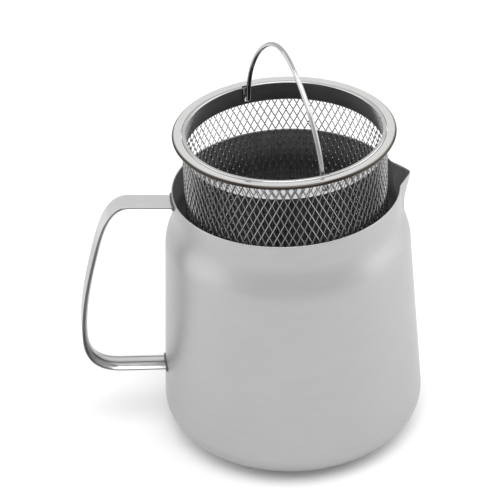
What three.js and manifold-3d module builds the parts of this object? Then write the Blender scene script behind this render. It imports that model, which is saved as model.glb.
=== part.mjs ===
// A stove-top frying pot with a lift-out basket of expanded steel mesh.
// Millimetres, +Z up. The origin is the middle of the base, on the surface the pot stands on.
// The spout points along +X and the pot handle along -X.

import * as THREE from 'three';
import { mergeVertices } from 'three/addons/utils/BufferGeometryUtils.js';
import Module from 'manifold-3d';

// ---------------------------------------------------------------- driving dimensions

const GAP = 0.3;                // air between pieces that touch on the real object
const ROUND_STEPS = 48;         // facets round a full circle

// pot
const BODY_R = 78;              // widest radius, just above the foot
const FOOT_R = 15.7;            // radius of the rounded foot
const SHOULDER_R = 71.6;        // radius where the side ends and the shoulder starts
const NECK_R = 66;              // outer radius of the straight neck
const WALL = 0.8;               // sheet thickness of the pot
const SHELL_Z = 3.2;            // underside of the drawn shell, above the base disc
const SHOULDER_Z = SHELL_Z + 120.8;
const NECK_Z = SHELL_Z + 143.8;
const RIM_Z = SHELL_Z + 155.4;
const LINING = 0.5;             // thickness that stands for the non-stick coating

// base disc under the floor
const BASE_R = 58;
const CAP_T = 0.6;

// spout
const SPOUT_REACH = 6.6;        // how far the tip stands out from the neck
const SPOUT_HALF_WIDTH = 12;    // half the width of the mouth of the V
const SPOUT_RISE = 1;           // how far the rim rises towards the tip
const SPOUT_RISE_ANGLE = 0.34;  // how far round the pot from the tip the rim rises, in radians
const SPOUT_DEPTH = 24;         // how far the V runs down from the rim
const SPOUT_TIP_ANGLE = 0.035;  // rounding of the tip, in radians round the pot
const LINING_EASE = 0.6;        // how far the coating stays back from the spout's wall

// pot handle, a strap with a flat outside and a crowned inside
const STRAP_HALF_WIDTH = 7.25;
const STRAP_EDGE = 1;           // thickness at the strap's edges
const STRAP_CROWN = 3.4;        // thickness in its middle
const STRAP_REACH = 124.8;      // distance from the pot's axis to the grip's outside
const ARM_TOP_Z = SHELL_Z + 152.8;
const ARM_LOW_Z = SHELL_Z + 39.3;
const BEAD = 1.1;               // width of the weld bead round each end of the strap
const BEAD_REACH = 1.3;         // how far the bead runs out along the strap
const BEAD_ROOT = 4;            // how far inside the wall the bead starts, before it is cut

// basket
const LIFT = 34.2;              // height of the basket above its seat in the stored pose
const RING_Z = 161 + LIFT;      // level of the ring's web, between bead and lip
const RING_OUT_R = 63.6;
const RING_IN_R = 58.2;
const RING_RISE = 1;            // from the ring's level up to the top of its bead
const BEAD_HALF_WIDTH = 2.3;    // the oval bead along the ring's edge
const BEAD_HALF_HEIGHT = 1.3;
const WEB_ABOVE = 0.5;          // the web's top and underside, from the ring's level
const WEB_BELOW = 1.1;
const LIP_ABOVE = 1.1;          // the lip's top and underside, from the ring's level
const LIP_BELOW = 0.5;
const LIP_IN_R = 55.7;
const BAND_IN_R = 56.3;
const BAND_T = 0.6;
const BAND_DEPTH = 11;          // from the ring's level down to the band's lower edge
const MESH_IN_R = 57.3;
const MESH_OUT_R = 58.5;
const MESH_DROP = 2;            // from the ring's level down to the mesh's upper edge
const BASKET_Z = 5.1 + LIFT;    // underside of the basket
const HOOP_HEIGHT = 9;
const HOOP_FLANGE_R = 53.5;     // inner edge of the flanges that hold the floor mesh
const FLOOR_MESH_T = 1;

// bail
const EAR_AZIMUTH = THREE.MathUtils.degToRad(-75);
const EAR_DROP = 7;             // from the ring's level down to the bail's pivot
const EAR_TOP_DROP = 0.9;       // from the ring's level down to the ears' upper edge
const EAR_HOLE_R = 1.9;
const BAND_HOLE_R = 2.2;        // the punched hole in the band behind each ear
const EAR_T = 0.8;
const EAR_OUT_R = 56;
const EAR_HALF_WIDTH = 2.5;
const WIRE_R = 1.4;
const PIN_PAST_EAR = 0.2;       // how far the bail's pins stand out of the ears
const BAIL_BEND_R = 2;
const BAIL_LEG_R = 53.4;        // distance from the basket's axis to the foot of each leg
const BAIL_HEIGHT = 58.3;       // from the pivot to the middle of the wire at the top

const wasm = await Module();
wasm.setup();

// ---------------------------------------------------------------- materials

const steel = (color, roughness) => new THREE.MeshStandardMaterial({ color, roughness, metalness: 1 });
const satinSteel = steel(0xc4c5c7, 0.42);
const polishedSteel = steel(0xd6d6d8, 0.14);
const meshSteel = steel(0x8c8c8e, 0.3);
const coating = new THREE.MeshStandardMaterial({ color: 0x2b2b2d, roughness: 0.5, metalness: 0 });
const aluminium = steel(0xc9cbce, 0.5);

// ---------------------------------------------------------------- helpers

// A three.js geometry as a manifold-3d solid, for cutting.
function toSolid(geometry) {
  const bare = geometry.clone();
  bare.deleteAttribute('normal');
  bare.deleteAttribute('uv');
  const merged = mergeVertices(bare, 1e-3);
  return new wasm.Manifold(new wasm.Mesh({
    numProp: 3,
    vertProperties: merged.attributes.position.array,
    triVerts: new Uint32Array(merged.index.array),
  }));
}

// A manifold-3d solid as a three.js geometry.
function toGeometry(solid) {
  const mesh = solid.getMesh();
  const geometry = new THREE.BufferGeometry();
  geometry.setAttribute('position', new THREE.Float32BufferAttribute(mesh.vertProperties, 3));
  geometry.setIndex(new THREE.Uint32BufferAttribute(mesh.triVerts, 1));
  geometry.computeVertexNormals();
  return geometry;
}

// A profile of (radius, height) points, turned round the Z axis.
function turned(profile, steps = ROUND_STEPS) {
  const geometry = new THREE.LatheGeometry(profile, steps);
  geometry.rotateX(Math.PI / 2);
  geometry.rotateZ(Math.PI / 2);
  return geometry;
}

const point = (r, z) => new THREE.Vector2(r, z);

// A closed profile from (radius, height) pairs, listed anticlockwise.
function closedProfile(pairs) {
  const profile = pairs.map(([r, z]) => point(r, z));
  profile.push(profile[0].clone());
  return profile;
}

function part(name, geometry, material) {
  const mesh = new THREE.Mesh(geometry, material);
  mesh.name = name;
  return mesh;
}

// ---------------------------------------------------------------- pot wall

// The outside of the pot from the middle of the base to the rim, as (radius, height) points.
function wallProfile() {
  const profile = [point(0, SHELL_Z)];
  const lean = Math.atan2(BODY_R - SHOULDER_R, SHOULDER_Z - SHELL_Z - FOOT_R);
  const footSteps = 5;
  for (let i = 0; i <= footSteps; i += 1) {
    const angle = -Math.PI / 2 + (i / footSteps) * (Math.PI / 2 + lean);
    profile.push(point(
      BODY_R - FOOT_R + FOOT_R * Math.cos(angle),
      SHELL_Z + FOOT_R + FOOT_R * Math.sin(angle),
    ));
  }
  const handle = 9.5;
  const shoulder = new THREE.CubicBezierCurve(
    point(SHOULDER_R, SHOULDER_Z),
    point(SHOULDER_R - handle * Math.sin(lean), SHOULDER_Z + handle),
    point(NECK_R, NECK_Z - handle),
    point(NECK_R, NECK_Z),
  );
  profile.push(...shoulder.getPoints(7));
  const neckSteps = 4;
  for (let i = 1; i <= neckSteps; i += 1) {
    profile.push(point(NECK_R, NECK_Z + (i / neckSteps) * (RIM_Z - NECK_Z)));
  }
  return profile;
}

// The same profile, moved inwards by a distance along its normals.
function inset(profile, distance) {
  const last = profile.length - 1;
  return profile.map((here, i) => {
    const before = profile[Math.max(i - 1, 0)];
    const after = profile[Math.min(i + 1, last)];
    const along = after.clone().sub(before).normalize();
    if (i === 0) return point(0, here.y + distance);
    if (i === last) return point(here.x - distance, here.y);
    return point(here.x - distance * along.y, here.y + distance * along.x);
  });
}

// How much of the spout is there at a height, from 0 below it to 1 at the rim.
function spoutGrowth(z) {
  return THREE.MathUtils.clamp((z - RIM_Z + SPOUT_DEPTH) / SPOUT_DEPTH, 0, 1);
}

// How far the spout pushes the wall outwards at an angle round the pot and a height.
function spoutPush(angle, z) {
  const grow = spoutGrowth(z);
  const halfAngle = Math.asin(SPOUT_HALF_WIDTH / NECK_R) * grow ** 0.8;
  const away = Math.hypot(angle, SPOUT_TIP_ANGLE) - SPOUT_TIP_ANGLE;
  if (grow === 0 || away >= halfAngle) return 0;
  const tip = NECK_R + SPOUT_REACH * grow ** 0.8;
  const side = tip * Math.sin(away) + NECK_R * Math.sin(halfAngle - away);
  return Math.max(0, (tip * NECK_R * Math.sin(halfAngle)) / side - NECK_R);
}

// How far the rim rises beside the spout.
function spoutRise(angle, z) {
  const near = Math.max(0, 1 - Math.abs(angle) / SPOUT_RISE_ANGLE);
  return SPOUT_RISE * spoutGrowth(z) ** 2 * Math.sin((near * Math.PI) / 2);
}

// Turns a wall profile, crowds its facets towards the spout and pulls the spout out.
function spoutedWall(profile, ease = 0) {
  const crowding = 0.6;
  const geometry = turned(profile);
  const position = geometry.attributes.position;
  for (let i = 0; i < position.count; i += 1) {
    const r = Math.hypot(position.getX(i), position.getY(i));
    const z = position.getZ(i);
    const even = Math.atan2(position.getY(i), position.getX(i));
    const angle = even - crowding * Math.sin(even);
    const push = r > SPOUT_HALF_WIDTH ? Math.max(0, spoutPush(angle, z) - ease) : 0;
    const height = z + spoutRise(angle, z);
    position.setXYZ(i, (r + push) * Math.cos(angle), (r + push) * Math.sin(angle), height);
  }
  return geometry;
}

// A wall between two insets of the outside profile, with a round edge at the rim.
function wallBetween(outer, inner, ease) {
  const outside = inset(wallProfile(), outer);
  const inside = inset(wallProfile(), inner).reverse();
  const rimTop = point(NECK_R - (outer + inner) / 2, RIM_Z + (inner - outer) / 2);
  return spoutedWall([...outside, rimTop, ...inside], ease);
}

const potShell = part('pot_shell', wallBetween(0, WALL, 0), satinSteel);
const lining = part(
  'nonstick_lining',
  wallBetween(WALL + GAP, WALL + GAP + LINING, LINING_EASE),
  coating,
);

// The solid that the pot fills, with the clearance that the strap's ends keep to it.
function potClearance() {
  const profile = inset(wallProfile(), -GAP);
  profile[0].y = -1;
  profile.push(point(0, RIM_Z));
  return toSolid(spoutedWall(profile));
}

// ---------------------------------------------------------------- base disc

function baseCap() {
  return turned([
    point(0, 0),
    point(BASE_R, 0),
    point(BASE_R, SHELL_Z - GAP),
    point(BASE_R - CAP_T, SHELL_Z - GAP),
    point(BASE_R - CAP_T, CAP_T),
    point(0, CAP_T),
  ]);
}

function baseCore() {
  const r = BASE_R - CAP_T - GAP;
  return turned([
    point(0, CAP_T + GAP),
    point(r, CAP_T + GAP),
    point(r, SHELL_Z - GAP),
    point(0, SHELL_Z - GAP),
  ]);
}

// ---------------------------------------------------------------- pot handle

// The line of the strap's flat outside, from inside the neck to inside the lower wall.
function strapPath() {
  const at = (reach, z) => new THREE.Vector3(-reach, 0, z);
  const armEnd = at(90, ARM_TOP_Z + 2.8);
  const gripTop = at(112, ARM_TOP_Z - 22.5);
  const gripLow = at(STRAP_REACH, ARM_LOW_Z + 27.5);
  const lowEnd = at(103, ARM_LOW_Z + 2.8);
  const path = new THREE.CurvePath();
  path.add(new THREE.LineCurve3(at(NECK_R - 3, ARM_TOP_Z - 0.3), armEnd));
  path.add(new THREE.CubicBezierCurve3(
    armEnd,
    at(101.5, ARM_TOP_Z + 4.3),
    at(107.5, ARM_TOP_Z - 8),
    gripTop,
  ));
  path.add(new THREE.CubicBezierCurve3(
    gripTop,
    at(118, ARM_TOP_Z - 42),
    at(STRAP_REACH, ARM_TOP_Z - 66),
    gripLow,
  ));
  path.add(new THREE.CubicBezierCurve3(
    gripLow,
    at(STRAP_REACH, ARM_LOW_Z + 11.5),
    at(117, ARM_LOW_Z + 4.2),
    lowEnd,
  ));
  path.add(new THREE.LineCurve3(lowEnd, at(BODY_R - 4, ARM_LOW_Z)));
  return path;
}

// The strap's section, grown by a margin. Its flat side lies on the path, towards +Y here.
function strapSection(margin) {
  const side = STRAP_HALF_WIDTH + margin;
  const section = new THREE.Shape();
  section.moveTo(-side, margin);
  section.lineTo(-side, -STRAP_EDGE);
  section.quadraticCurveTo(-side * 0.55, -STRAP_CROWN - margin, 0, -STRAP_CROWN - margin);
  section.quadraticCurveTo(side * 0.55, -STRAP_CROWN - margin, side, -STRAP_EDGE);
  section.lineTo(side, margin);
  section.closePath();
  return section;
}

function strapSolid() {
  return toSolid(new THREE.ExtrudeGeometry(strapSection(0), {
    steps: 46,
    curveSegments: 3,
    bevelEnabled: false,
    extrudePath: strapPath(),
  }));
}

// The radius of the flared side at a height.
function sideRadiusAt(z) {
  return THREE.MathUtils.mapLinear(z, SHELL_Z + FOOT_R, SHOULDER_Z, BODY_R, SHOULDER_R);
}

// The bead round one end of the strap: a short collar that starts inside the wall.
function weldBead(arm, wallR) {
  const collar = strapSection(GAP + BEAD);
  collar.holes.push(strapSection(GAP));
  const along = arm.v2.clone().sub(arm.v1).normalize();
  const outwards = along.x < 0 ? 1 : -1;
  const atWall = arm.getPoint(THREE.MathUtils.inverseLerp(arm.v1.x, arm.v2.x, -wallR));
  const inside = atWall.clone().addScaledVector(along, -BEAD_ROOT * outwards);
  const outside = atWall.clone().addScaledVector(along, BEAD_REACH * outwards);
  const line = outwards > 0
    ? new THREE.LineCurve3(inside, outside)
    : new THREE.LineCurve3(outside, inside);
  const geometry = new THREE.ExtrudeGeometry(collar, {
    steps: 1,
    curveSegments: 3,
    bevelEnabled: false,
    extrudePath: line,
  });
  return toGeometry(toSolid(geometry).subtract(potClearance()));
}

function handleNodes() {
  const strap = toGeometry(strapSolid().subtract(potClearance()));
  const { curves } = strapPath();
  const upper = weldBead(curves[0], NECK_R);
  const lower = weldBead(curves[curves.length - 1], sideRadiusAt(ARM_LOW_Z));
  return [
    part('pot_handle', strap, satinSteel),
    part('handle_weld_upper', upper, satinSteel),
    part('handle_weld_lower', lower, satinSteel),
  ];
}

// ---------------------------------------------------------------- basket

// The ring: an oval bead on a short web that meets the band's lip.
function rimRing() {
  const middle = point(RING_OUT_R - BEAD_HALF_WIDTH, RING_Z + RING_RISE - BEAD_HALF_HEIGHT);
  const profile = [point(RING_IN_R, RING_Z - WEB_BELOW)];
  for (let degrees = -150; degrees <= 120; degrees += 30) {
    const turn = THREE.MathUtils.degToRad(degrees);
    profile.push(point(
      middle.x + BEAD_HALF_WIDTH * Math.cos(turn),
      middle.y + BEAD_HALF_HEIGHT * Math.sin(turn),
    ));
  }
  profile.push(point(RING_IN_R, RING_Z + WEB_ABOVE));
  profile.push(profile[0].clone());
  return turned(profile);
}

// The strip inside the mesh, with the lip along its top and a hole at each ear.
function rimBand() {
  const out = BAND_IN_R + BAND_T;
  const lipOut = RING_IN_R - GAP;
  const profile = closedProfile([
    [BAND_IN_R, RING_Z - BAND_DEPTH],
    [out, RING_Z - BAND_DEPTH],
    [out, RING_Z - LIP_BELOW],
    [lipOut, RING_Z - LIP_BELOW],
    [lipOut, RING_Z + 0.7],
    [lipOut - 0.5, RING_Z + LIP_ABOVE],
    [LIP_IN_R + 0.5, RING_Z + LIP_ABOVE],
    [LIP_IN_R, RING_Z + 0.6],
    [LIP_IN_R, RING_Z - 0.2],
    [BAND_IN_R, RING_Z - LIP_BELOW],
  ]);
  const hole = new THREE.CylinderGeometry(BAND_HOLE_R, BAND_HOLE_R, 3 * BODY_R, 16);
  hole.rotateZ(Math.PI / 2);
  hole.rotateZ(EAR_AZIMUTH);
  hole.translate(0, 0, RING_Z - EAR_DROP);
  return toGeometry(toSolid(turned(profile)).subtract(toSolid(hole)));
}

function meshWall() {
  return turned(closedProfile([
    [MESH_IN_R, BASKET_Z + BAND_T + GAP],
    [MESH_OUT_R, BASKET_Z + BAND_T + GAP],
    [MESH_OUT_R, RING_Z - MESH_DROP],
    [MESH_IN_R, RING_Z - MESH_DROP],
  ]));
}

function meshFloor() {
  const low = BASKET_Z + BAND_T + GAP;
  const r = MESH_IN_R - GAP;
  return turned([
    point(0, low),
    point(r, low),
    point(r, low + FLOOR_MESH_T),
    point(0, low + FLOOR_MESH_T),
  ]);
}

// The outer hoop runs round the foot of the wall and under the edge of the floor.
function hoopOuter() {
  const inner = MESH_OUT_R + GAP;
  return turned(closedProfile([
    [HOOP_FLANGE_R, BASKET_Z],
    [inner + BAND_T, BASKET_Z],
    [inner + BAND_T, BASKET_Z + HOOP_HEIGHT],
    [inner, BASKET_Z + HOOP_HEIGHT],
    [inner, BASKET_Z + BAND_T],
    [HOOP_FLANGE_R, BASKET_Z + BAND_T],
  ]));
}

// The inner hoop holds the floor down and the wall out.
function hoopInner() {
  const outer = MESH_IN_R - GAP;
  const low = BASKET_Z + BAND_T + GAP + FLOOR_MESH_T + GAP;
  return turned(closedProfile([
    [HOOP_FLANGE_R, low],
    [outer, low],
    [outer, BASKET_Z + HOOP_HEIGHT],
    [outer - BAND_T, BASKET_Z + HOOP_HEIGHT],
    [outer - BAND_T, low + BAND_T],
    [HOOP_FLANGE_R, low + BAND_T],
  ]));
}

// A tab that hangs from the lip and holds one end of the bail.
function ear() {
  const top = RING_Z - EAR_TOP_DROP;
  const pivot = RING_Z - EAR_DROP;
  const tab = new THREE.Shape();
  tab.moveTo(-EAR_HALF_WIDTH, top);
  tab.lineTo(-EAR_HALF_WIDTH, pivot);
  tab.absarc(0, pivot, EAR_HALF_WIDTH, Math.PI, 2 * Math.PI, false);
  tab.lineTo(EAR_HALF_WIDTH, top);
  tab.closePath();
  const eye = new THREE.Path();
  eye.absarc(0, pivot, EAR_HOLE_R, 0, 2 * Math.PI, true);
  tab.holes.push(eye);
  const geometry = new THREE.ExtrudeGeometry(tab, {
    depth: EAR_T,
    curveSegments: 8,
    bevelEnabled: false,
  });
  geometry.rotateX(Math.PI / 2);
  geometry.rotateZ(Math.PI / 2);
  geometry.translate(EAR_OUT_R - EAR_T, 0, 0);
  return geometry;
}

function earNode(name, azimuth) {
  const node = part(name, ear(), satinSteel);
  node.rotation.z = azimuth;
  return node;
}

// ---------------------------------------------------------------- bail

// The middle of the wire, from the end of one pin over the top to the end of the other.
// It is drawn in the plane of the bail, with the pivot line along X and the top along Z.
function bailPath() {
  const at = (x, z) => new THREE.Vector3(x, 0, z);
  const bendStart = BAIL_LEG_R + BAIL_BEND_R;
  const pin = new THREE.LineCurve3(at(EAR_OUT_R + PIN_PAST_EAR, 0), at(bendStart, 0));
  const bend = new THREE.QuadraticBezierCurve3(
    at(bendStart, 0),
    at(BAIL_LEG_R, 0),
    at(BAIL_LEG_R, BAIL_BEND_R),
  );
  const arch = new THREE.CubicBezierCurve3(
    at(BAIL_LEG_R, BAIL_BEND_R),
    at(BAIL_LEG_R, BAIL_HEIGHT * 0.46),
    at(BAIL_LEG_R * 0.43, BAIL_HEIGHT),
    at(0, BAIL_HEIGHT),
  );
  const half = [
    ...pin.getPoints(1),
    ...bend.getPoints(5).slice(1),
    ...arch.getPoints(18).slice(1),
  ];
  const mirrored = half.slice(0, -1).reverse().map((p) => at(-p.x, p.z));
  return new THREE.CatmullRomCurve3([...half, ...mirrored], false, 'centripetal');
}

function bail() {
  const section = new THREE.Shape();
  section.absarc(0, 0, WIRE_R, 0, 2 * Math.PI, false);
  return new THREE.ExtrudeGeometry(section, {
    steps: 48,
    curveSegments: 5,
    bevelEnabled: false,
    extrudePath: bailPath(),
  });
}

// ---------------------------------------------------------------- assembly

const pot = new THREE.Group();
pot.add(potShell, lining);
pot.add(part('base_core', baseCore(), aluminium));
pot.add(part('base_cap', baseCap(), satinSteel));
pot.add(...handleNodes());

const basket = new THREE.Group();
basket.add(part('rim_ring', rimRing(), polishedSteel));
basket.add(part('rim_band', rimBand(), polishedSteel));
basket.add(part('mesh_wall', meshWall(), meshSteel));
basket.add(part('mesh_floor', meshFloor(), meshSteel));
basket.add(part('floor_hoop_outer', hoopOuter(), satinSteel));
basket.add(part('floor_hoop_inner', hoopInner(), satinSteel));
basket.add(earNode('ear_front', EAR_AZIMUTH));
basket.add(earNode('ear_back', EAR_AZIMUTH + Math.PI));

const bailNode = part('bail', bail(), polishedSteel);
bailNode.position.z = RING_Z - EAR_DROP;
bailNode.rotation.z = EAR_AZIMUTH;
basket.add(bailNode);

const fryer = new THREE.Group();
fryer.add(pot, basket);

export default fryer;
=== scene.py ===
"""Looks of a stove-top frying pot with a lift-out basket of expanded steel mesh.

Shapes are worked out in millimetres in the frame of the CAD model (+Z up, spout along +X,
pot handle along -X) and turned into metres when their meshes are made.
"""
import math

import bmesh
import bpy
import numpy as np
from mathutils import Matrix, Vector


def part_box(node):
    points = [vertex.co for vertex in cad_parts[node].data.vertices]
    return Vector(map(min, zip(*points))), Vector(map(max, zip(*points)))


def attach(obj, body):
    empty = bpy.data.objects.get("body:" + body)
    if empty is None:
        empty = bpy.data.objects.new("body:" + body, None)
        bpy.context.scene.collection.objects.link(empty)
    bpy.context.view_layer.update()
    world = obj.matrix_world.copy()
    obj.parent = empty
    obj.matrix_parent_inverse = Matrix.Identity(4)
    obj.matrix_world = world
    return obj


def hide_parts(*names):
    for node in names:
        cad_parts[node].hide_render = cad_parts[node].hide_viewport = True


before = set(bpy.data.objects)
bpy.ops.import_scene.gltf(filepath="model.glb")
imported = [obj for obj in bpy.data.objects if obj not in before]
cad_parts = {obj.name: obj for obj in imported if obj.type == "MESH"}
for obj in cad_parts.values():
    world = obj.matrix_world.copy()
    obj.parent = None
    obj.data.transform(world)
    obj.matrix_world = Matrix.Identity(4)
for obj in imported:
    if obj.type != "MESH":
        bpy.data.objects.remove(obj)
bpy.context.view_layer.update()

MM = 0.001


def low(node):
    """The lowest corner of a CAD node, in millimetres."""
    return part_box(node)[0] / MM


def high(node):
    """The highest corner of a CAD node, in millimetres."""
    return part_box(node)[1] / MM


# ---------------------------------------------------------------- driving dimensions, mm

# pot
BODY_R = high("pot_shell").y
SHELL_Z = low("pot_shell").z
FOOT_R = 15.7
SHOULDER_R = 71.6
NECK_R = 66.0
WALL = 0.8
SHOULDER_Z = SHELL_Z + 120.8
NECK_Z = SHELL_Z + 143.8
RIM_Z = SHELL_Z + 155.4
COATING_T = 0.3
COATING_GAP = 0.05
COATING_STOP = 0.9              # how far below the rim the coating ends

# spout
SPOUT_REACH = 6.6
SPOUT_HALF_WIDTH = 12.0
SPOUT_RISE = 1.0                # how far the rim rises at the tip
SPOUT_RISE_ANGLE = 0.34         # radians to each side of the tip
SPOUT_DEPTH = 24.0              # from the rim down to where the spout starts
SPOUT_TIP_ANGLE = 0.035         # rounding of the tip, in radians
SPOUT_TAPER = 0.8               # how fast the spout grows with height, as a power
SPOUT_SOFTNESS = 0.2            # rounding of the creases beside the V

# pot handle
STRAP_HALF_WIDTH = 7.25
STRAP_EDGE = 1.0                # from the flat outside to where the crown starts
STRAP_CROWN = 3.4
STRAP_ROUND = 0.35              # rounding of the long edges
STRAP_REACH = -low("pot_handle").x
GRIP_SHADE = 0.5                 # the grip's painted shade, as a share of the arms' tone
ARM_TOP_Z = SHELL_Z + 152.8
ARM_LOW_Z = SHELL_Z + 39.3
WELD_R = 0.85
WELD_MARGIN = 0.35              # from the strap to the middle of the bead
WELD_STAND = 0.1                # from the wall to the middle of the bead
WELD_RIPPLES = 34
WELD_RIPPLE_DEPTH = 0.14        # as a share of the bead's radius

# basket
RING_RISE = 1.0                 # from the ring's level up to the top of its bead
BEAD_HALF_WIDTH = 2.3           # the oval bead along the ring's edge
BEAD_HALF_HEIGHT = 1.3
WEB_ABOVE = 0.5                 # the ring's web, above and below the ring's level
WEB_BELOW = 1.1
LIP_BELOW = 0.5                 # from the ring's level down to the underside of the lip
RING_Z = high("rim_ring").z - RING_RISE
RING_OUT_R = 63.6
RING_IN_R = 58.2
LIP_IN_R = 55.7
BAND_IN_R = 56.3
BAND_T = 0.6
BAND_LOW_Z = low("rim_band").z
MESH_LOW_Z = low("mesh_wall").z
MESH_HIGH_Z = high("mesh_wall").z
MESH_R = 57.9                   # middle of the mesh wall
DIAMONDS_ROUND = 84             # diamonds in one row round the wall
DIAMOND_HEIGHT = 8.4
STRAND_W = 0.54                 # width of a strand of the mesh
STRAND_T = 0.44                 # thickness of the sheet it is cut from
STRAND_TILT = math.radians(38)  # how far the strands are turned out of the sheet
STRAND_SWING = 0.26             # how far they stand in and out of it
JOIN_PITCH = 0.6 * STRAND_W     # between the middles of two strands where they join
ROW_HEIGHT = DIAMOND_HEIGHT / 2
ROW_REACH = (ROW_HEIGHT - JOIN_PITCH) / 2
HOOP_LOW_Z = low("floor_hoop_outer").z
HOOP_HIGH_Z = high("floor_hoop_outer").z
HOOP_FLANGE_R = 53.5
HOOP_OUTER_R = 59.4
HOOP_INNER_R = 57.0
HOOP_EDGE = 0.25                # rounding of the hoops' edges

# ears and bail
EAR_AZIMUTH = math.radians(-75)
EAR_DROP = 7.0
EAR_HOLE_R = 1.9
BAND_HOLE_R = 2.2
EAR_T = 0.8
EAR_OUT_R = 56.0
EAR_HALF_WIDTH = 2.5
EAR_RISE = 0.6                  # from the ring's level up to the ears' top
NOTCH_ROOM = 0.4                # between an ear and each side of its notch
BAIL_WIRE_R = 1.4
BAIL_CHAMFER = 0.35
BAIL_BEND_R = 2.0
BAIL_LEG_R = 53.4
PIN_PAST_EAR = 0.2              # how far the bail's pins stand out of the ears
PIVOT_Z = RING_Z - EAR_DROP
BAIL_HEIGHT = high("bail").z - BAIL_WIRE_R - PIVOT_Z

# base disc
BASE_R = high("base_cap").y
CAP_T = 0.6
DISC_EDGE = 0.4                 # rounding of the aluminium disc's edges


# ---------------------------------------------------------------- curves and profiles

def cubic(a, b, c, d, steps):
    """Points on a cubic Bezier curve, both ends included."""
    t = np.linspace(0, 1, steps + 1)[:, None]
    a, b, c, d = (np.array(p, float) for p in (a, b, c, d))
    return a * (1 - t) ** 3 + 3 * b * t * (1 - t) ** 2 + 3 * c * t * t * (1 - t) + d * t ** 3


def line(a, b, steps):
    """Points on a straight line, both ends included."""
    t = np.linspace(0, 1, steps + 1)[:, None]
    return np.array(a, float) * (1 - t) + np.array(b, float) * t


def chain(*runs):
    """Runs of points joined end to end, without the doubled ends."""
    return np.concatenate([runs[0]] + [run[1:] for run in runs[1:]])


def arc(centre, radius, start, end, steps):
    """Points on an arc, with its angles in degrees."""
    t = np.radians(np.linspace(start, end, steps + 1))
    return np.stack([centre[0] + radius * np.cos(t), centre[1] + radius * np.sin(t)], axis=1)


def unit(vectors):
    """Directions of length 1."""
    return vectors / np.linalg.norm(vectors, axis=-1, keepdims=True)


def rounded(corners, radius, steps=3):
    """A closed outline with its corners rounded off."""
    corners = [np.array(c, float) for c in corners]
    outline = []
    for i, corner in enumerate(corners):
        back = corners[i - 1] - corner
        on = corners[(i + 1) % len(corners)] - corner
        cut = min(radius, 0.45 * np.linalg.norm(back), 0.45 * np.linalg.norm(on))
        start = corner + back / np.linalg.norm(back) * cut
        end = corner + on / np.linalg.norm(on) * cut
        for t in np.linspace(0, 1, steps + 1):
            outline.append(start * (1 - t) ** 2 + 2 * corner * t * (1 - t) + end * t * t)
    return np.array(outline)


# ---------------------------------------------------------------- meshes

def add_mesh(name, vertices, faces, materials, sharp=35, face_material=None):
    """A mesh object from points in millimetres, smooth except at edges sharper than an angle."""
    mesh = bpy.data.meshes.new(name)
    mesh.from_pydata((np.asarray(vertices, float) * MM).tolist(), [], faces)
    for material in materials:
        mesh.materials.append(material)
    if face_material is not None:
        mesh.polygons.foreach_set("material_index", face_material)
    solid = bmesh.new()
    solid.from_mesh(mesh)
    bmesh.ops.recalc_face_normals(solid, faces=solid.faces)
    solid.to_mesh(mesh)
    solid.free()
    mesh.polygons.foreach_set("use_smooth", [True] * len(mesh.polygons))
    mesh.set_sharp_from_angle(angle=math.radians(sharp))
    mesh.update()
    thing = bpy.data.objects.new(name, mesh)
    bpy.context.scene.collection.objects.link(thing)
    return thing


def finish_piece(thing, body, slot, *nodes):
    """Says which body a piece rides on and hides the CAD nodes it stands for; its slot is not used."""
    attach(thing, body)
    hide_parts(*nodes)


def turned(profile, angles, closed, push=None):
    """Vertices and faces of a profile of (radius, height) points turned round the Z axis.

    A closed profile joins its last point to its first. push(angles, height) gives how far
    each point is moved outwards and upwards.
    """
    vertices = []
    rows = []
    for r, z in profile:
        if r < 1e-6:
            rows.append([len(vertices)] * len(angles))
            vertices.append((0, 0, z))
            continue
        rows.append(list(range(len(vertices), len(vertices) + len(angles))))
        out, rise = push(angles, z) if push else (np.zeros(len(angles)), np.zeros(len(angles)))
        vertices += np.stack([
            (r + out) * np.cos(angles), (r + out) * np.sin(angles), z + rise,
        ], axis=1).tolist()
    pairs = list(zip(rows, rows[1:] + rows[:1])) if closed else list(zip(rows, rows[1:]))
    faces = []
    for a, b in pairs:
        for i in range(len(angles)):
            j = (i + 1) % len(angles)
            corners = [a[i], a[j], b[j], b[i]]
            faces.append(list(dict.fromkeys(corners)))
    return vertices, faces


def even_angles(steps):
    """Angles spread evenly over a full turn."""
    return np.linspace(0, 2 * math.pi, steps, endpoint=False)


def turned_piece(name, profile, material, steps=192, sharp=35):
    """A ring-shaped piece with a closed profile."""
    vertices, faces = turned(profile, even_angles(steps), True)
    return add_mesh(name, vertices, faces, [material], sharp)


def skin(rows, count, closed=False, start=0):
    """Faces over rows of points: between each row and the next, and one over each end.

    A closed skin joins its last row to its first and has no ends.
    """
    here = start + np.arange(rows * count).reshape(rows, count)
    there = np.roll(here, -1, axis=0)
    ends = [] if closed else [here[0].tolist(), here[-1].tolist()]
    if not closed:
        here, there = here[:-1], there[:-1]
    quads = np.stack([
        here, np.roll(here, -1, axis=1), np.roll(there, -1, axis=1), there], axis=-1)
    return quads.reshape(-1, 4).tolist() + ends


def wire(path, across, up, radii, sides, closed=False):
    """Vertices and faces of a round wire along a path, with a radius for each point."""
    turn = even_angles(sides)[None, :, None]
    rings = path[:, None, :] + radii[:, None, None] * (
        across[:, None, :] * np.cos(turn) + up[:, None, :] * np.sin(turn))
    return rings.reshape(-1, 3), skin(len(path), sides, closed)


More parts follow.
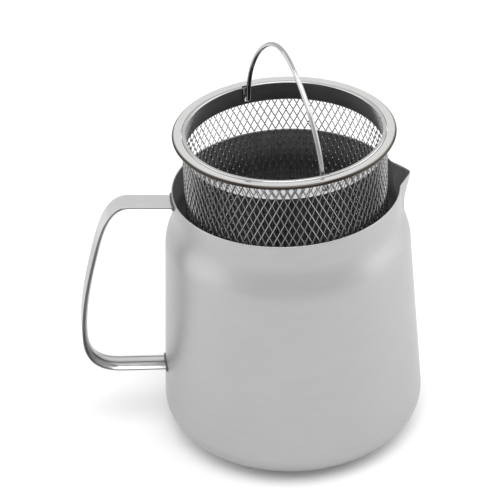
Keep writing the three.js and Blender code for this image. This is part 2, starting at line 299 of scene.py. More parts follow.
def cut(thing, cutters):
    """Cuts other objects out of a piece and removes them."""
    for cutter in cutters:
        modifier = thing.modifiers.new("cut", "BOOLEAN")
        modifier.operation = "DIFFERENCE"
        modifier.solver = "EXACT"
        modifier.object = cutter
    bpy.context.view_layer.update()
    result = bpy.data.meshes.new_from_object(
        thing.evaluated_get(bpy.context.evaluated_depsgraph_get()))
    thing.modifiers.clear()
    thing.data = result
    for cutter in cutters:
        bpy.data.objects.remove(cutter)
    return thing


# ---------------------------------------------------------------- materials

# places of the colour sockets on a Mix node
MIX_COLOR_A = 6
MIX_COLOR_B = 7
MIX_COLOR_RESULT = 2


def grey(level):
    """A neutral colour."""
    return (level, level, level)


class Look:
    """A node material on one Principled shader."""

    def __init__(self, name, color, metallic, **constants):
        self.material = bpy.data.materials.new(name)
        self.material.use_nodes = True
        self.material.diffuse_color = (*color, 1)
        self.tree = self.material.node_tree
        self.shader = self.tree.nodes["Principled BSDF"]
        self.shader.inputs["Metallic"].default_value = metallic
        self.color = color
        for socket, value in constants.items():
            self.shader.inputs[socket.replace("_", " ")].default_value = value

    def node(self, kind, inputs=None, **settings):
        """A node, with its inputs linked or set by name or place."""
        made = self.tree.nodes.new("ShaderNode" + kind)
        for key, value in settings.items():
            setattr(made, key, value)
        for key, value in (inputs or {}).items():
            if isinstance(value, bpy.types.NodeSocket):
                self.tree.links.new(value, made.inputs[key])
            else:
                made.inputs[key].default_value = value
        return made

    def math(self, operation, a, b=0.0):
        """A calculation on one or two values."""
        return self.node("Math", {0: a, 1: b}, operation=operation).outputs[0]

    def place(self):
        """The coordinates of a point of the piece, in metres."""
        return self.node("TexCoord").outputs["Object"]

    def axes(self):
        """The X, Y and Z of a point of the piece, each as a value."""
        return self.node("SeparateXYZ", {0: self.place()}).outputs

    def from_axis(self, x, y):
        """The distance from the Z axis."""
        return self.math("SQRT", self.math(
            "ADD", self.math("MULTIPLY", x, x), self.math("MULTIPLY", y, y)))

    def straight(self, scale):
        """Coordinates stretched along X, Y and Z, for grain in straight lines."""
        mapping = self.node("Mapping", {"Vector": self.place(), "Scale": scale})
        return mapping.outputs["Vector"]

    def round(self, around, outwards, upwards):
        """Coordinates round the Z axis, for grain that runs round the pot or up its side."""
        x, y, z = self.axes()
        angle = self.math("ARCTAN2", y, x)
        radius = self.from_axis(x, y)
        return self.node("CombineXYZ", {
            0: self.math("MULTIPLY", angle, around),
            1: self.math("MULTIPLY", radius, outwards),
            2: self.math("MULTIPLY", z, upwards),
        }).outputs[0]

    def noise(self, vector, scale=1.0, detail=2.0, roughness=0.5):
        """A cloudy pattern over some coordinates."""
        return self.node("TexNoise", {
            "Vector": vector, "Scale": scale, "Detail": detail, "Roughness": roughness,
        }).outputs["Fac"]

    def blend(self, a, b, share):
        """Two noises mixed in a fixed share."""
        mix = self.node("Mix", {"Factor": share, "A": a, "B": b})
        return mix.outputs["Result"]

    def spread(self, value, least, most):
        """A noise stretched out between two values."""
        return self.node("MapRange", {
            "Value": value, "From Min": 0.3, "From Max": 0.7, "To Min": least, "To Max": most,
        }).outputs["Result"]

    def tone(self, value, dark, light):
        """Colours the shader between a darker and a lighter tone of its own colour."""
        ramp = self.node("ValToRGB", {"Fac": value})
        ramp.color_ramp.elements[0].position = 0.32
        ramp.color_ramp.elements[1].position = 0.68
        ramp.color_ramp.elements[0].color = (*(c * dark for c in self.color), 1)
        ramp.color_ramp.elements[1].color = (*(c * light for c in self.color), 1)
        self.tree.links.new(ramp.outputs["Color"], self.shader.inputs["Base Color"])

    def fade(self, value, places, shares):
        """Multiplies the shader's colour by others that change with a distance in millimetres."""
        first, last = places[0] * MM, places[-1] * MM
        share = self.node("MapRange", {"Value": value, "From Min": first, "From Max": last})
        ramp = self.node("ValToRGB", {"Fac": share.outputs["Result"]})
        ramp.color_ramp.interpolation = "EASE"
        stops = ramp.color_ramp.elements
        for place, tone in zip(places[1:-1], shares[1:-1]):
            stop = stops.new((place * MM - first) / (last - first))
            stop.color = (*tone, 1)
        stops[0].color = (*shares[0], 1)
        stops[len(stops) - 1].color = (*shares[-1], 1)
        base = self.shader.inputs["Base Color"]
        mix = self.node("Mix", {
            "Factor": 1.0,
            MIX_COLOR_A: base.links[0].from_socket,
            MIX_COLOR_B: ramp.outputs["Color"],
        }, data_type="RGBA", blend_type="MULTIPLY")
        self.tree.links.new(mix.outputs[MIX_COLOR_RESULT], base)

    def fade_upwards(self, heights, shares):
        """Multiplies the shader's colour by others that change with height."""
        self.fade(self.axes()["Z"], heights, shares)

    def fade_across(self, distances, shares):
        """Multiplies the shader's colour by others that change with the distance from the XZ plane."""
        self.fade(self.math("ABSOLUTE", self.axes()["Y"]), distances, shares)

    def fade_outwards(self, distances, shares):
        """Multiplies the shader's colour by others that change with the distance from the axis."""
        x, y, _ = self.axes()
        self.fade(self.from_axis(x, y), distances, shares)

    def gloss(self, value, least, most):
        """Gives the shader a roughness between two values."""
        self.tree.links.new(self.spread(value, least, most), self.shader.inputs["Roughness"])

    def relief(self, value, depth, strength=1.0):
        """Gives the shader a bump of a depth in metres."""
        bump = self.node("Bump", {"Strength": strength, "Distance": depth, "Height": value})
        self.tree.links.new(bump.outputs["Normal"], self.shader.inputs["Normal"])


def brushed_round():
    """Satin steel, brushed round the pot."""
    look = Look(
        "satin_steel_round", (0.42, 0.42, 0.425), 1.0, Anisotropic=0.5, Anisotropic_Rotation=0.25)
    lines = look.noise(look.round(3.0, 2600.0, 2600.0), 1.0, 3.0, 0.6)
    broad = look.noise(look.round(5.0, 300.0, 320.0), 1.0, 2.0)
    cloud = look.noise(look.place(), 28.0, 3.0)
    tangent = look.node("Tangent", direction_type="RADIAL", axis="Z").outputs[0]
    look.tree.links.new(tangent, look.shader.inputs["Tangent"])
    look.tone(look.blend(lines, broad, 0.5), 0.975, 1.02)
    look.gloss(look.blend(lines, cloud, 0.6), 0.42, 0.48)
    look.relief(lines, 0.00003, 0.12)
    return look.material


def brushed_strap():
    """Steel brushed along the strap, with painted shade on the grip."""
    look = Look("satin_steel_strap", (0.58, 0.58, 0.585), 1.0)
    lines = look.noise(look.straight((40.0, 2400.0, 40.0)), 1.0, 3.0, 0.6)
    cloud = look.noise(look.place(), 60.0, 3.0)
    look.tone(look.blend(lines, cloud, 0.4), 0.93, 1.05)
    # painted shade: the grip is darker than the arms above and below it
    look.fade_upwards(
        (ARM_LOW_Z, ARM_LOW_Z + 22, ARM_TOP_Z - 30, ARM_TOP_Z),
        (grey(1), grey(GRIP_SHADE), grey(GRIP_SHADE), grey(1)))
    look.gloss(lines, 0.22, 0.34)
    look.relief(lines, 0.00003, 0.25)
    return look.material


def polished_look(name, color, tones, roughness, scratch):
    """Steel with faint handling marks, with its least and most tone and roughness."""
    look = Look(name, color, 1.0)
    cloud = look.noise(look.place(), 90.0, 4.0, 0.6)
    marks = look.noise(look.straight((300.0, 900.0, 2600.0)), 1.0, 4.0, 0.7)
    look.tone(look.blend(cloud, marks, 0.3), *tones)
    look.gloss(look.blend(cloud, marks, 0.5), *roughness)
    look.relief(marks, 0.00002, scratch)
    return look


def polished(name, color, least, most, scratch=0.15):
    """Polished steel with a roughness between two values."""
    return polished_look(name, color, (0.94, 1.04), (least, most), scratch).material


def polished_strap():
    """Polished steel of the strap's crowned inside, with a painted dark reflection in two lines and
    painted shade on the grip.
    """
    look = polished_look("polished_strap", grey(0.60), (0.95, 1.04), (0.12, 0.2), 0.1)
    # painted shade: darker on the grip, and a little darker near the upper arm
    look.fade_upwards(
        (ARM_LOW_Z + 5, ARM_LOW_Z + 15, ARM_TOP_Z - 34, ARM_TOP_Z - 10),
        (grey(1), grey(0.6), grey(0.6), grey(0.85)))
    # painted dark reflection in a line on each side of the crown's middle, and painted shade along the
    # long edges
    look.fade_across(
        (0, 1.8, 2.7, 3.6, 4.6, STRAP_HALF_WIDTH - 0.65, STRAP_HALF_WIDTH - 0.15),
        (grey(1), grey(0.8), grey(0.22), grey(0.7), grey(1), grey(1), grey(0.3)))
    return look.material


def polished_ring():
    """Polished steel, with a painted dark brown reflection along the outer edge of the bead."""
    # painted light: a lighter steel than the other polished parts, for a brighter top
    look = polished_look(
        "polished_ring", (0.68, 0.675, 0.665), (0.96, 1.03), (0.07, 0.15), 0.1)
    # painted reflection: the bead darkens to brown-black towards its outer edge
    look.fade_outwards(
        (RING_OUT_R - 1.5, RING_OUT_R - 0.95, RING_OUT_R - 0.6, RING_OUT_R),
        (grey(1), (0.40, 0.38, 0.36), (0.06, 0.052, 0.045), (0.05, 0.042, 0.035)))
    return look.material


def coated():
    """Charcoal non-stick coating with a low sheen and faint streaks up the side."""
    look = Look("charcoal_coating", (0.12, 0.12, 0.122), 0.0, Specular_IOR_Level=0.7)
    streaks = look.noise(look.round(26.0, 30.0, 7.0), 1.0, 4.0, 0.6)
    grains = look.noise(look.place(), 2600.0, 2.0)
    look.tone(look.blend(streaks, grains, 0.35), 0.6, 1.7)
    look.gloss(look.blend(streaks, grains, 0.3), 0.34, 0.52)
    look.relief(grains, 0.00004, 0.3)
    return look.material


def expanded():
    """Expanded stainless mesh, a little uneven in tone."""
    look = Look("expanded_mesh", (0.23, 0.23, 0.232), 1.0)
    cloud = look.noise(look.place(), 240.0, 3.0)
    fine = look.noise(look.place(), 2400.0, 2.0)
    look.tone(look.blend(cloud, fine, 0.4), 0.82, 1.1)
    look.gloss(look.blend(cloud, fine, 0.5), 0.20, 0.34)
    look.relief(fine, 0.00002, 0.2)
    return look.material


def welded():
    """A cleaned weld bead, duller and faintly tinted."""
    look = Look("weld_bead", (0.12, 0.115, 0.11), 1.0)
    cloud = look.noise(look.place(), 500.0, 4.0)
    fine = look.noise(look.place(), 2600.0, 3.0)
    look.tone(cloud, 0.7, 1.1)
    look.gloss(fine, 0.35, 0.55)
    look.relief(fine, 0.00005, 0.4)
    return look.material


def faced_aluminium():
    """Aluminium turned on a lathe."""
    look = Look("faced_aluminium", (0.62, 0.62, 0.64), 1.0)
    lines = look.noise(look.round(1.0, 2200.0, 2200.0), 1.0, 2.0)
    look.tone(lines, 0.9, 1.05)
    look.gloss(lines, 0.35, 0.5)
    look.relief(lines, 0.00005, 0.3)
    return look.material


satin = brushed_round()
strap_satin = brushed_strap()
bright = polished("polished_steel", grey(0.57), 0.07, 0.16)
ring_bright = polished_ring()
band_bright = polished("polished_band", grey(0.50), 0.22, 0.25, 0.05)
# painted shade: the ears are a darker steel than the other polished parts, standing in for the shade
# they hang in
ear_shaded = polished("polished_ear", grey(0.26), 0.12, 0.22)
wire_bright = polished("polished_bail_wire", (0.40, 0.40, 0.405), 0.08, 0.18)
strap_bright = polished_strap()
coating = coated()
mesh_steel = expanded()
weld = welded()
aluminium = faced_aluminium()


# ---------------------------------------------------------------- pot wall

def wall_profile():
    """The outside of the pot from the middle of the base to the rim."""
    lean = math.atan2(BODY_R - SHOULDER_R, SHOULDER_Z - SHELL_Z - FOOT_R)
    foot = arc((BODY_R - FOOT_R, SHELL_Z + FOOT_R), FOOT_R, -90, math.degrees(lean), 20)
    bottom = line((0, SHELL_Z), foot[0], 8)
    side = line(foot[-1], (SHOULDER_R, SHOULDER_Z), 10)
    ease = 9.5
    shoulder = cubic(
        (SHOULDER_R, SHOULDER_Z),
        (SHOULDER_R - ease * math.sin(lean), SHOULDER_Z + ease),
        (NECK_R, NECK_Z - ease),
        (NECK_R, NECK_Z),
        22,
    )
    neck = line((NECK_R, NECK_Z), (NECK_R, RIM_Z), 16)
    return chain(bottom, foot, side, shoulder, neck)


def inset(profile, distance):
    """A profile moved inwards along its normals."""
    along = unit(np.gradient(profile, axis=0))
    moved = profile + distance * np.stack([-along[:, 1], along[:, 0]], axis=1)
    moved[0] = (0, profile[0][1] + distance)
    return moved


def spout_push(angles, z):
    """How far the spout pushes the wall outwards and upwards, at angles and one height."""
    grow = min(max((z - RIM_Z + SPOUT_DEPTH) / SPOUT_DEPTH, 0), 1)
    if grow == 0:
        return np.zeros(len(angles)), np.zeros(len(angles))
    half = math.asin(SPOUT_HALF_WIDTH / NECK_R) * grow ** SPOUT_TAPER
    turn = (angles + math.pi) % (2 * math.pi) - math.pi
    away = np.hypot(turn, SPOUT_TIP_ANGLE) - SPOUT_TIP_ANGLE
    near = away < 2.5 * half
    turned_away = np.where(near, away, 0)
    tip = NECK_R + SPOUT_REACH * grow ** SPOUT_TAPER
    side = tip * np.sin(turned_away) + NECK_R * np.sin(half - turned_away)
    out = tip * NECK_R * math.sin(half) / side - NECK_R
    soft = SPOUT_SOFTNESS * grow
    eased = (out + np.sqrt(out * out + soft * soft)) / 2
    share = np.clip(1 - np.abs(turn) / SPOUT_RISE_ANGLE, 0, 1)
    rise = SPOUT_RISE * grow ** 2 * np.sin(share * math.pi / 2)
    return np.where(near, eased, 0), rise


def spout_angles(steps):
    """Angles round the pot, crowded towards the spout."""
    crowding = 0.6
    even = even_angles(steps)
    return even - crowding * np.sin(even)


def wall_piece(name, outer, inner, top, material, steps=320):
    """A wall between two insets of the outside profile, with a round edge at its top."""
    outside = inset(wall_profile(), outer)
    inside = inset(wall_profile(), inner)[::-1]
    edge = (inner - outer) / 2
    outside[-1][1] = top - edge
    inside[0][1] = top - edge
    rim = arc((NECK_R - (outer + inner) / 2, top - edge), edge, 0, 180, 6)
    profile = np.concatenate([outside[:-1], rim, inside[1:]])
    vertices, faces = turned(profile, spout_angles(steps), False, spout_push)
    return add_mesh(name, vertices, faces, [material], 50)


finish_piece(
    wall_piece("pot_body", 0, WALL, RIM_Z + WALL / 2, satin), "pot", "satin_steel", "pot_shell")
finish_piece(
    wall_piece(
        "pot_coating", WALL + COATING_GAP, WALL + COATING_GAP + COATING_T,
        RIM_Z - COATING_STOP, coating),
    "pot", "coating", "nonstick_lining")


# ---------------------------------------------------------------- base disc

def disc_piece(name, radius, low_z, high_z, material):
    """A solid disc with rounded edges."""
    profile = [(0, low_z), *rounded([
        (radius * 0.5, low_z), (radius, low_z), (radius, high_z), (radius * 0.5, high_z),
    ], DISC_EDGE), (0, high_z)]
    vertices, faces = turned(profile, even_angles(160), False)
    return add_mesh(name, vertices, faces, [material])


def cap_piece():
    """The shallow steel cap round the aluminium core."""
    high_z = high("base_cap").z
    edge = 0.6
    outer = [(0, 0), (BASE_R - edge, 0), (BASE_R - edge / 4, edge / 4), (BASE_R, edge)]
    lip = [(BASE_R, high_z), (BASE_R - CAP_T, high_z)]
    inner = [(BASE_R - CAP_T, CAP_T), (0, CAP_T)]
    vertices, faces = turned(outer + lip + inner, even_angles(160), False)
    return add_mesh("base_steel_cap", vertices, faces, [satin])


finish_piece(cap_piece(), "pot", "satin_steel", "base_cap")
finish_piece(
    disc_piece(
        "base_aluminium_core", high("base_core").y, low("base_core").z, high("base_core").z,
        aluminium),
    "pot", "aluminium_core", "base_core")


# ---------------------------------------------------------------- pot handle

def strap_path():
    """The line of the strap's flat outside, as (x, z) points from the neck to the side."""
    def at(reach, z):
        return (-reach, z)
    arm_end = at(90, ARM_TOP_Z + 2.8)
    grip_top = at(112, ARM_TOP_Z - 22.5)
    grip_low = at(STRAP_REACH, ARM_LOW_Z + 27.5)
    low_end = at(103, ARM_LOW_Z + 2.8)
    upper_wall = at(NECK_R - 0.5, ARM_TOP_Z - 0.1)
    lower_wall = at(side_radius(ARM_LOW_Z) - 0.6, ARM_LOW_Z + 0.1)
    return chain(
        line(upper_wall, arm_end, 10),
        cubic(arm_end, at(101.5, ARM_TOP_Z + 4.3), at(107.5, ARM_TOP_Z - 8), grip_top, 28),
        cubic(grip_top, at(118, ARM_TOP_Z - 42), at(STRAP_REACH, ARM_TOP_Z - 66), grip_low, 34),
        cubic(grip_low, at(STRAP_REACH, ARM_LOW_Z + 11.5), at(117, ARM_LOW_Z + 4.2), low_end, 28),
        line(low_end, lower_wall, 10),
    )


def side_radius(z):
    """The radius of the flared side at a height."""
    share = (z - SHELL_Z - FOOT_R) / (SHOULDER_Z - SHELL_Z - FOOT_R)
    return BODY_R + (SHOULDER_R - BODY_R) * share


def strap_section(margin=0.0):
    """The strap's outline, flat outside and crowned inside, and how many of its edges are flat.

    Its points are (across, outwards), and its flat edges come first.
    """
    side = STRAP_HALF_WIDTH + margin
    top = margin
    bottom = -STRAP_CROWN - margin
    r = STRAP_ROUND
    flat = line((-side + r, top), (side - r, top), 8)
    right = line((side, top - r), (side, -STRAP_EDGE), 1)
    crown_right = cubic(
        (side, -STRAP_EDGE), (side * 0.85, -STRAP_EDGE - 1.0), (side * 0.5, bottom), (0, bottom), 9)
    crown_left = crown_right[::-1] * (-1, 1)
    left = right[::-1] * (-1, 1)
    return chain(flat, line(flat[-1], right[0], 2), right, crown_right, crown_left, left), len(flat) + 1


def strap_frames(path):
    """The outward normals of a path of (x, z) points."""
    along = unit(np.gradient(path, axis=0))
    return np.stack([along[:, 1], -along[:, 0]], axis=1)


def strap_piece():
    """The strap, brushed on its flat outside and polished on its crowned inside."""
    path = strap_path()
    outwards = strap_frames(path)
    section, flat_count = strap_section()
    vertices = []
    for (x, z), (nx, nz) in zip(path, outwards):
        for across, out in section:
            vertices.append((x + out * nx, across, z + out * nz))
    faces = skin(len(path), len(section))
    paint = [0 if j < flat_count else 1 for j in range(len(section))] * (len(path) - 1) + [0, 0]
    return add_mesh("strap_handle", vertices, faces, [strap_satin, strap_bright], 40, paint)


def weld_piece(name, end, radius_at):
    """A rippled bead on the wall, round the strap's upper end (0) or its lower one (-1)."""
    path = strap_path()
    z = path[end][1]
    nz = strap_frames(path)[end][1]
    outline, _ = strap_section(WELD_MARGIN)
    closed = np.concatenate([outline, outline[:1]])
    lengths = np.concatenate([[0], np.cumsum(np.linalg.norm(np.diff(closed, axis=0), axis=1))])
    steps = 220
    where = np.linspace(0, lengths[-1], steps, endpoint=False)
    across = np.interp(where, lengths, closed[:, 0])
    out = np.interp(where, lengths, closed[:, 1])
    heights = z + out * nz
    walls = np.array([radius_at(h) for h in heights])
    centre = np.stack([-np.sqrt((walls + WELD_STAND) ** 2 - across ** 2), across, heights], axis=1)
    waves = np.abs(np.sin(np.arange(steps) * math.pi * WELD_RIPPLES / steps))
    radii = WELD_R * (1 + WELD_RIPPLE_DEPTH * waves)
    along = unit(np.roll(centre, -1, axis=0) - np.roll(centre, 1, axis=0))
    wall_normal = unit(centre * (1, 1, 0))
    side = unit(np.cross(along, wall_normal))
    vertices, faces = wire(centre, side, wall_normal, radii, 10, True)
    return add_mesh(name, vertices, faces, [weld], 60)


finish_piece(strap_piece(), "pot", "handle_steel", "pot_handle")
finish_piece(
    weld_piece("weld_upper", 0, lambda z: NECK_R), "pot", "weld", "handle_weld_upper")
finish_piece(weld_piece("weld_lower", -1, side_radius), "pot", "weld", "handle_weld_lower")


# ---------------------------------------------------------------- basket rim

def ring_piece():
    """The ring: an oval bead on a short web that meets the band's lip."""
    middle = (RING_OUT_R - BEAD_HALF_WIDTH, RING_Z + RING_RISE - BEAD_HALF_HEIGHT)
    bead = arc((0, 0), 1, -150, 120, 30) * (BEAD_HALF_WIDTH, BEAD_HALF_HEIGHT) + middle
    inner = [(RING_IN_R, RING_Z - WEB_BELOW), (RING_IN_R, RING_Z + WEB_ABOVE)]
    profile = np.concatenate([inner[:1], bead, inner[1:]])
    return turned_piece("basket_ring", profile, ring_bright, 256, 50)


def block(name, centre, size, azimuth):
    """A plain box for cutting, turned round the Z axis."""
    bpy.ops.mesh.primitive_cube_add(size=MM)
    thing = bpy.context.object
    thing.name = name
    turn = Matrix.Rotation(azimuth, 4, "Z")
    thing.matrix_world = turn @ Matrix.Translation(Vector(centre) * MM) @ Matrix.Diagonal((*size, 1))
    return thing


def bar(name, radius, length, azimuth, height):
    """A plain round bar through the axis, for cutting."""
    bpy.ops.mesh.primitive_cylinder_add(vertices=40, radius=radius * MM, depth=length * MM)
    thing = bpy.context.object
    thing.name = name
    thing.matrix_world = (
        Matrix.Translation((0, 0, height * MM))
        @ Matrix.Rotation(azimuth, 4, "Z") @ Matrix.Rotation(math.pi / 2, 4, "Y"))
    return thing


def band_piece():
    """The band inside the mesh, with its lip, the two notches and the two bail holes."""
    out = BAND_IN_R + BAND_T
    under = RING_Z - LIP_BELOW
    bevel = 0.15
    lip_out = RING_IN_R - 0.3
    lip_low = RING_Z - 0.4
    lip_high = RING_Z + 0.5
    lip_crown = RING_Z + 1.25
    profile = chain(
        line((BAND_IN_R, under), (BAND_IN_R, BAND_LOW_Z + bevel), 6),
        line((BAND_IN_R, BAND_LOW_Z + bevel), (BAND_IN_R + bevel, BAND_LOW_Z), 1),
        line((BAND_IN_R + bevel, BAND_LOW_Z), (out - bevel, BAND_LOW_Z), 1),
        line((out - bevel, BAND_LOW_Z), (out, BAND_LOW_Z + bevel), 1),
        line((out, BAND_LOW_Z + bevel), (out, under), 6),
        line((out, under), (lip_out, lip_low), 1),
        line((lip_out, lip_low), (lip_out, lip_high), 1),
        cubic(
            (lip_out, lip_high), (lip_out - 0.2, lip_crown),
            (LIP_IN_R + 0.2, lip_crown), (LIP_IN_R, RING_Z + 0.4), 10),
        cubic(
            (LIP_IN_R, RING_Z + 0.4), (LIP_IN_R - 0.05, RING_Z - 0.1),
            (LIP_IN_R + 0.2, lip_low), (BAND_IN_R, under), 5),
    )[:-1]
    band = turned_piece("basket_band", profile, band_bright, 256)
    cutters = [bar("hole", BAND_HOLE_R, 3 * BODY_R, EAR_AZIMUTH, PIVOT_Z)]
    notch_width = 2 * (EAR_HALF_WIDTH + NOTCH_ROOM)
    for azimuth in (EAR_AZIMUTH, EAR_AZIMUTH + math.pi):
        cutters.append(block(
            "notch", (LIP_IN_R, 0, RING_Z + 1.6), (2.4, notch_width, 4.4), azimuth))
    return cut(band, cutters)


finish_piece(ring_piece(), "basket", "polished_steel", "rim_ring")
finish_piece(band_piece(), "basket", "polished_steel", "rim_band")


# ---------------------------------------------------------------- expanded mesh

def strand_row(phase, periods, ends):
    """One zigzag strand: its places along the row, and its height there, from -1 to 1.

    Its tips are flattened, where it joins the next rows.
    """
    stops = np.array([0.0, 0.05, 0.45, 0.5, 0.55, 0.95])
    levels = np.array([1.0, 0.93, -0.93, -1.0, -0.93, 0.93])
    along = (stops[None, :] + np.arange(periods)[:, None]).ravel()
    level = np.tile(levels, periods)
    if ends:
        along = np.append(along, periods)
        level = np.append(level, 1.0)
    return along + phase, level


def ribbon(paths, outwards, closed):
    """Flat strands of the mesh along paths, turned out of the sheet by the strand's tilt."""
    vertices = []
    faces = []
    half_w, half_t = STRAND_W / 2, STRAND_T / 2
    corners = [(-half_w, -half_t), (half_w, -half_t), (half_w, half_t), (-half_w, half_t)]
    for path, out in zip(paths, outwards):
        along = np.roll(path, -1, axis=0) - np.roll(path, 1, axis=0)
        if not closed:
            along[0] = path[1] - path[0]
            along[-1] = path[-1] - path[-2]
        along = unit(along)
        across = unit(np.cross(out, along))
        up = np.cross(along, across)
        wide = across * math.cos(STRAND_TILT) - up * math.sin(STRAND_TILT)
        thick = across * math.sin(STRAND_TILT) + up * math.cos(STRAND_TILT)
        faces += skin(len(path), len(corners), closed, len(vertices))
        ring = [path + w * wide + t * thick for w, t in corners]
        vertices += np.stack(ring, axis=1).reshape(-1, 3).tolist()
    return vertices, faces


def wall_mesh():
    """Rows of zigzag strands round the basket, joined where they meet."""
    highest = MESH_HIGH_Z - STRAND_W / 2
    rows = int((highest - MESH_LOW_Z - STRAND_W / 2) / ROW_HEIGHT)
    paths = []
    outwards = []
    for row in range(rows):
        middle = highest - ROW_REACH - row * ROW_HEIGHT
        along, level = strand_row(0.5 * (row % 2), DIAMONDS_ROUND, False)
        angle = along * 2 * math.pi / DIAMONDS_ROUND
        r = MESH_R - STRAND_SWING * level
        out = np.stack([np.cos(angle), np.sin(angle), 0 * angle], axis=1)
        paths.append(np.stack([
            r * out[:, 0], r * out[:, 1], middle + ROW_REACH * level], axis=1))
        outwards.append(out)
    vertices, faces = ribbon(paths, outwards, True)
    return add_mesh("wall_mesh", vertices, faces, [mesh_steel], 25)


def floor_mesh():
    """Rows of zigzag strands across the floor, cut off at its edge."""
    z = (low("mesh_floor").z + high("mesh_floor").z) / 2
    edge = high("mesh_floor").y
    width = 2 * math.pi * MESH_R / DIAMONDS_ROUND
    rows = int((edge - ROW_REACH - STRAND_W) / ROW_HEIGHT)
    swing = 0.6 * STRAND_SWING
    paths = []
    outwards = []
    for row in range(-rows, rows + 1):
        side = row * ROW_HEIGHT
        half = math.sqrt(edge ** 2 - (abs(side) + ROW_REACH + STRAND_W) ** 2) - STRAND_W
        periods = int(half / width)
        if periods < 1:
            continue
        along, level = strand_row(0.5 * (row % 2) - periods, 2 * periods, True)
        paths.append(np.stack([
            along * width, side + ROW_REACH * level, z - swing * level], axis=1))
        outwards.append(np.tile((0.0, 0.0, 1.0), (len(along), 1)))
    vertices, faces = ribbon(paths, outwards, False)
    return add_mesh("floor_mesh", vertices, faces, [mesh_steel], 25)


finish_piece(wall_mesh(), "basket", "expanded_mesh", "mesh_wall")
finish_piece(floor_mesh(), "basket", "expanded_mesh", "mesh_floor")


# ---------------------------------------------------------------- floor hoops

def hoop_outer():
    """The hoop outside the mesh wall, with a flange under the floor."""
    return turned_piece("hoop_outer", rounded([
        (HOOP_FLANGE_R, HOOP_LOW_Z), (HOOP_OUTER_R, HOOP_LOW_Z), (HOOP_OUTER_R, HOOP_HIGH_Z),
        (HOOP_OUTER_R - BAND_T, HOOP_HIGH_Z), (HOOP_OUTER_R - BAND_T, HOOP_LOW_Z + BAND_T),
        (HOOP_FLANGE_R, HOOP_LOW_Z + BAND_T),
    ], HOOP_EDGE), bright)


def hoop_inner():
    """The hoop inside the mesh wall, with a flange on top of the floor."""
    low_z = low("floor_hoop_inner").z
    return turned_piece("hoop_inner", rounded([
        (HOOP_FLANGE_R, low_z), (HOOP_INNER_R, low_z), (HOOP_INNER_R, HOOP_HIGH_Z),
        (HOOP_INNER_R - BAND_T, HOOP_HIGH_Z), (HOOP_INNER_R - BAND_T, low_z + BAND_T),
        (HOOP_FLANGE_R, low_z + BAND_T),
    ], HOOP_EDGE), bright)


finish_piece(hoop_outer(), "basket", "polished_steel", "floor_hoop_outer")
finish_piece(hoop_inner(), "basket", "polished_steel", "floor_hoop_inner")


# ---------------------------------------------------------------- ears and bail

def ear_piece(name, azimuth):
    """A tab with a round foot and an eye, hanging in the notch of the lip."""
    top = RING_Z + EAR_RISE
    corner = 0.3
    outline = [(-EAR_HALF_WIDTH, top - corner), (-EAR_HALF_WIDTH, PIVOT_Z)]
    outline += arc((0, PIVOT_Z), EAR_HALF_WIDTH, 180, 360, 24)[1:].tolist()
    outline += [(EAR_HALF_WIDTH, top - corner), (EAR_HALF_WIDTH - corner, top),
                (-EAR_HALF_WIDTH + corner, top)]
    bevel = 0.12
    layers = [
        (EAR_OUT_R - EAR_T, 1 - bevel / EAR_HALF_WIDTH),
        (EAR_OUT_R - EAR_T + bevel, 1),
        (EAR_OUT_R - bevel, 1),
        (EAR_OUT_R, 1 - bevel / EAR_HALF_WIDTH),
    ]
    middle = (top + PIVOT_Z - EAR_HALF_WIDTH) / 2
    vertices = []
    for radius, scale in layers:
        for across, height in outline:
            vertices.append((radius, across * scale, middle + (height - middle) * scale))
    faces = skin(len(layers), len(outline))
    tab = add_mesh(name, vertices, faces, [ear_shaded], 30)
    tab.data.transform(Matrix.Rotation(azimuth, 4, "Z"))
    return cut(tab, [bar("eye", EAR_HOLE_R, 3 * BODY_R, azimuth, PIVOT_Z)])


def bail_piece():
    """The bail: one wire from pin to pin, with chamfered ends."""
    pin_end = EAR_OUT_R + PIN_PAST_EAR
    bend_start = BAIL_LEG_R + BAIL_BEND_R
    pin = line((pin_end, 0), (bend_start, 0), 5)
    bend = cubic(
        (bend_start, 0), (bend_start - 0.6 * BAIL_BEND_R, 0),
        (BAIL_LEG_R, 0.4 * BAIL_BEND_R), (BAIL_LEG_R, BAIL_BEND_R), 8)
    arch = cubic(
        (BAIL_LEG_R, BAIL_BEND_R), (BAIL_LEG_R, BAIL_HEIGHT * 0.46),
        (BAIL_LEG_R * 0.43, BAIL_HEIGHT), (0, BAIL_HEIGHT), 56)
    half = chain(pin, bend, arch)
    flat = np.concatenate([half, half[:-1][::-1] * (-1, 1)])
    path = np.stack([
        flat[:, 0] * math.cos(EAR_AZIMUTH), flat[:, 0] * math.sin(EAR_AZIMUTH),
        flat[:, 1] + PIVOT_Z,
    ], axis=1)
    along = unit(np.gradient(path, axis=0))
    across = unit(np.cross(along, (-math.sin(EAR_AZIMUTH), math.cos(EAR_AZIMUTH), 0)))
    radii = np.full(len(path), BAIL_WIRE_R)
    radii[[0, -1]] = BAIL_WIRE_R - BAIL_CHAMFER
    vertices, faces = wire(path, across, np.cross(across, along), radii, 24)
    return add_mesh("bail_wire", vertices, faces, [wire_bright], 50)


finish_piece(ear_piece("ear_tab_front", EAR_AZIMUTH), "basket", "polished_steel", "ear_front")
finish_piece(
    ear_piece("ear_tab_back", EAR_AZIMUTH + math.pi), "basket", "polished_steel", "ear_back")
finish_piece(bail_piece(), "bail", "bail_wire", "bail")


# ---------------------------------------------------------------- studio

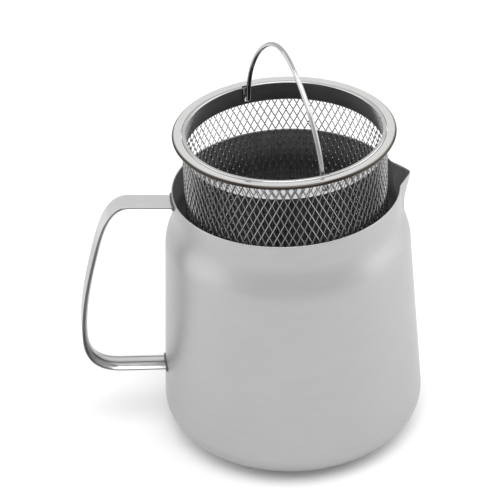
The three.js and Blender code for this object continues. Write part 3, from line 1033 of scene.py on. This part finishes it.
FLOOR_HALF = 6000                   # mm
CAMERA_AZIMUTH = math.radians(-97)
CAMERA_ELEVATION = math.radians(34.28)
CAMERA_DISTANCE = 1.2
CAMERA_LENS = 145.2
CAMERA_ROLL = math.radians(2.0)     # the pot leans a little to the left
TARGET = Vector((0, 0, (SHELL_Z + 80) * MM))
AIM_YAW = math.radians(1.13)        # the object stands right of the middle
AIM_PITCH = math.radians(1.25)      # and below it
ROOM_TONE = 1.0
ROOM_TONE_BEHIND = 0.76             # behind the camera

# where the softboxes point, in metres
SOFTBOX_AIM = Vector((0, 0, 0.09))

# name, position and size in metres, power in watts
SOFTBOXES = [
    ("softbox_top", (0.0, -0.5, 1.45), (1.1, 0.9), 9),
    ("softbox_left", (-1.3, 0.1, 0.8), (1.6, 1.4), 7),
    ("softbox_right", (1.3, 0.1, 0.8), (1.6, 1.4), 10),
]


def plain_floor():
    """A pale floor far larger than the object."""
    look = Look("studio_floor", grey(0.86), 0.0, Roughness=0.9, Specular_IOR_Level=0.1)
    look.tone(look.noise(look.place(), 3.0, 2.0), 0.995, 1.005)
    floor = add_mesh("studio_floor", [
        (-FLOOR_HALF, -FLOOR_HALF, 0), (FLOOR_HALF, -FLOOR_HALF, 0),
        (FLOOR_HALF, FLOOR_HALF, 0), (-FLOOR_HALF, FLOOR_HALF, 0),
    ], [[0, 1, 2, 3]], [look.material])


def softbox(name, position, size, power):
    """A rectangular area light that points at the object."""
    data = bpy.data.lights.new(name, "AREA")
    data.shape = "RECTANGLE"
    data.size, data.size_y = size
    data.energy = power
    light = bpy.data.objects.new(name, data)
    bpy.context.scene.collection.objects.link(light)
    light.location = position
    light.rotation_euler = (SOFTBOX_AIM - Vector(position)).to_track_quat("-Z", "Y").to_euler()


def studio_world():
    """A pale room, a little dimmer behind the camera."""
    world = bpy.data.worlds.new("studio_room")
    bpy.context.scene.world = world
    world.use_nodes = True
    nodes, links = world.node_tree.nodes, world.node_tree.links
    background = nodes["Background"]
    place = nodes.new("ShaderNodeTexCoord")
    towards = nodes.new("ShaderNodeVectorMath")
    towards.operation = "DOT_PRODUCT"
    towards.inputs[1].default_value = (math.cos(CAMERA_AZIMUTH), math.sin(CAMERA_AZIMUTH), 0)
    dim = nodes.new("ShaderNodeMapRange")
    dim.interpolation_type = "SMOOTHSTEP"
    dim.inputs["From Min"].default_value = 0.0
    dim.inputs["From Max"].default_value = 1.0
    dim.inputs["To Min"].default_value = ROOM_TONE
    dim.inputs["To Max"].default_value = ROOM_TONE_BEHIND
    links.new(place.outputs["Generated"], towards.inputs[0])
    links.new(towards.outputs["Value"], dim.inputs["Value"])
    links.new(dim.outputs["Result"], background.inputs["Strength"])
    background.inputs["Color"].default_value = (1, 1, 1, 1)


def studio_camera():
    """The camera at the photograph's angle, aimed a little left of and above the object."""
    level = Vector((math.cos(CAMERA_AZIMUTH), math.sin(CAMERA_AZIMUTH), 0))
    back = level * math.cos(CAMERA_ELEVATION) + Vector((0, 0, math.sin(CAMERA_ELEVATION)))
    right = Vector((0, 0, 1)).cross(back).normalized()
    up = back.cross(right)
    turned_axes = Matrix((right, up, back)).transposed()
    roll = Matrix.Rotation(-CAMERA_ROLL, 3, "Z")
    aim = Matrix.Rotation(AIM_YAW, 3, "Y") @ Matrix.Rotation(AIM_PITCH, 3, "X")
    data = bpy.data.cameras.new("camera")
    data.lens = CAMERA_LENS
    data.sensor_width = 36
    data.clip_end = 50
    camera = bpy.data.objects.new("camera", data)
    bpy.context.scene.collection.objects.link(camera)
    camera.matrix_world = Matrix.Translation(TARGET + back * CAMERA_DISTANCE) @ (
        turned_axes @ roll @ aim).to_4x4()
    bpy.context.scene.camera = camera


plain_floor()
studio_world()
for settings in SOFTBOXES:
    softbox(*settings)
studio_camera()
bpy.context.scene.view_settings.view_transform = "Standard"
bpy.context.scene.view_settings.look = "None"
